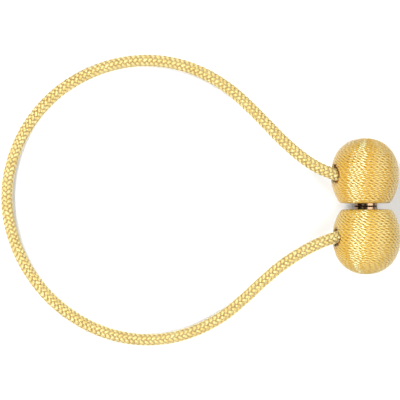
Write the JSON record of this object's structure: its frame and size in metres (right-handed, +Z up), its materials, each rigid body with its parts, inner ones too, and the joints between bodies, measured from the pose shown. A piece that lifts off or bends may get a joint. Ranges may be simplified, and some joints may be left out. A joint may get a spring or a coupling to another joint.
{
  "type": "magnetic curtain tieback",
  "caption": "Magnetic curtain tieback: thread-wound balls held face to face by magnets, joined by a looped round braided rope.",
  "frame": {"origin": "on the surface that the tieback lies on, midway between the balls and centred under them", "axes": "+X away from the rope's loop, +Y along the balls' shared line from the lower ball to the upper one, +Z up"},
  "size_m": [0.1834, 0.1347, 0.0307],
  "materials": {
    "wound_thread": "satin gold twisted thread, wound in close rows",
    "braided_cord": "satin pale gold braid",
    "magnet_plating": "nickel plating, smooth, slightly dulled"
  },
  "bodies": {
    "root": {"upper_ball": "wound_thread", "lower_ball": "wound_thread", "upper_magnet": "magnet_plating", "lower_magnet": "magnet_plating", "rope": "braided_cord"}
  },
  "joints": []
}
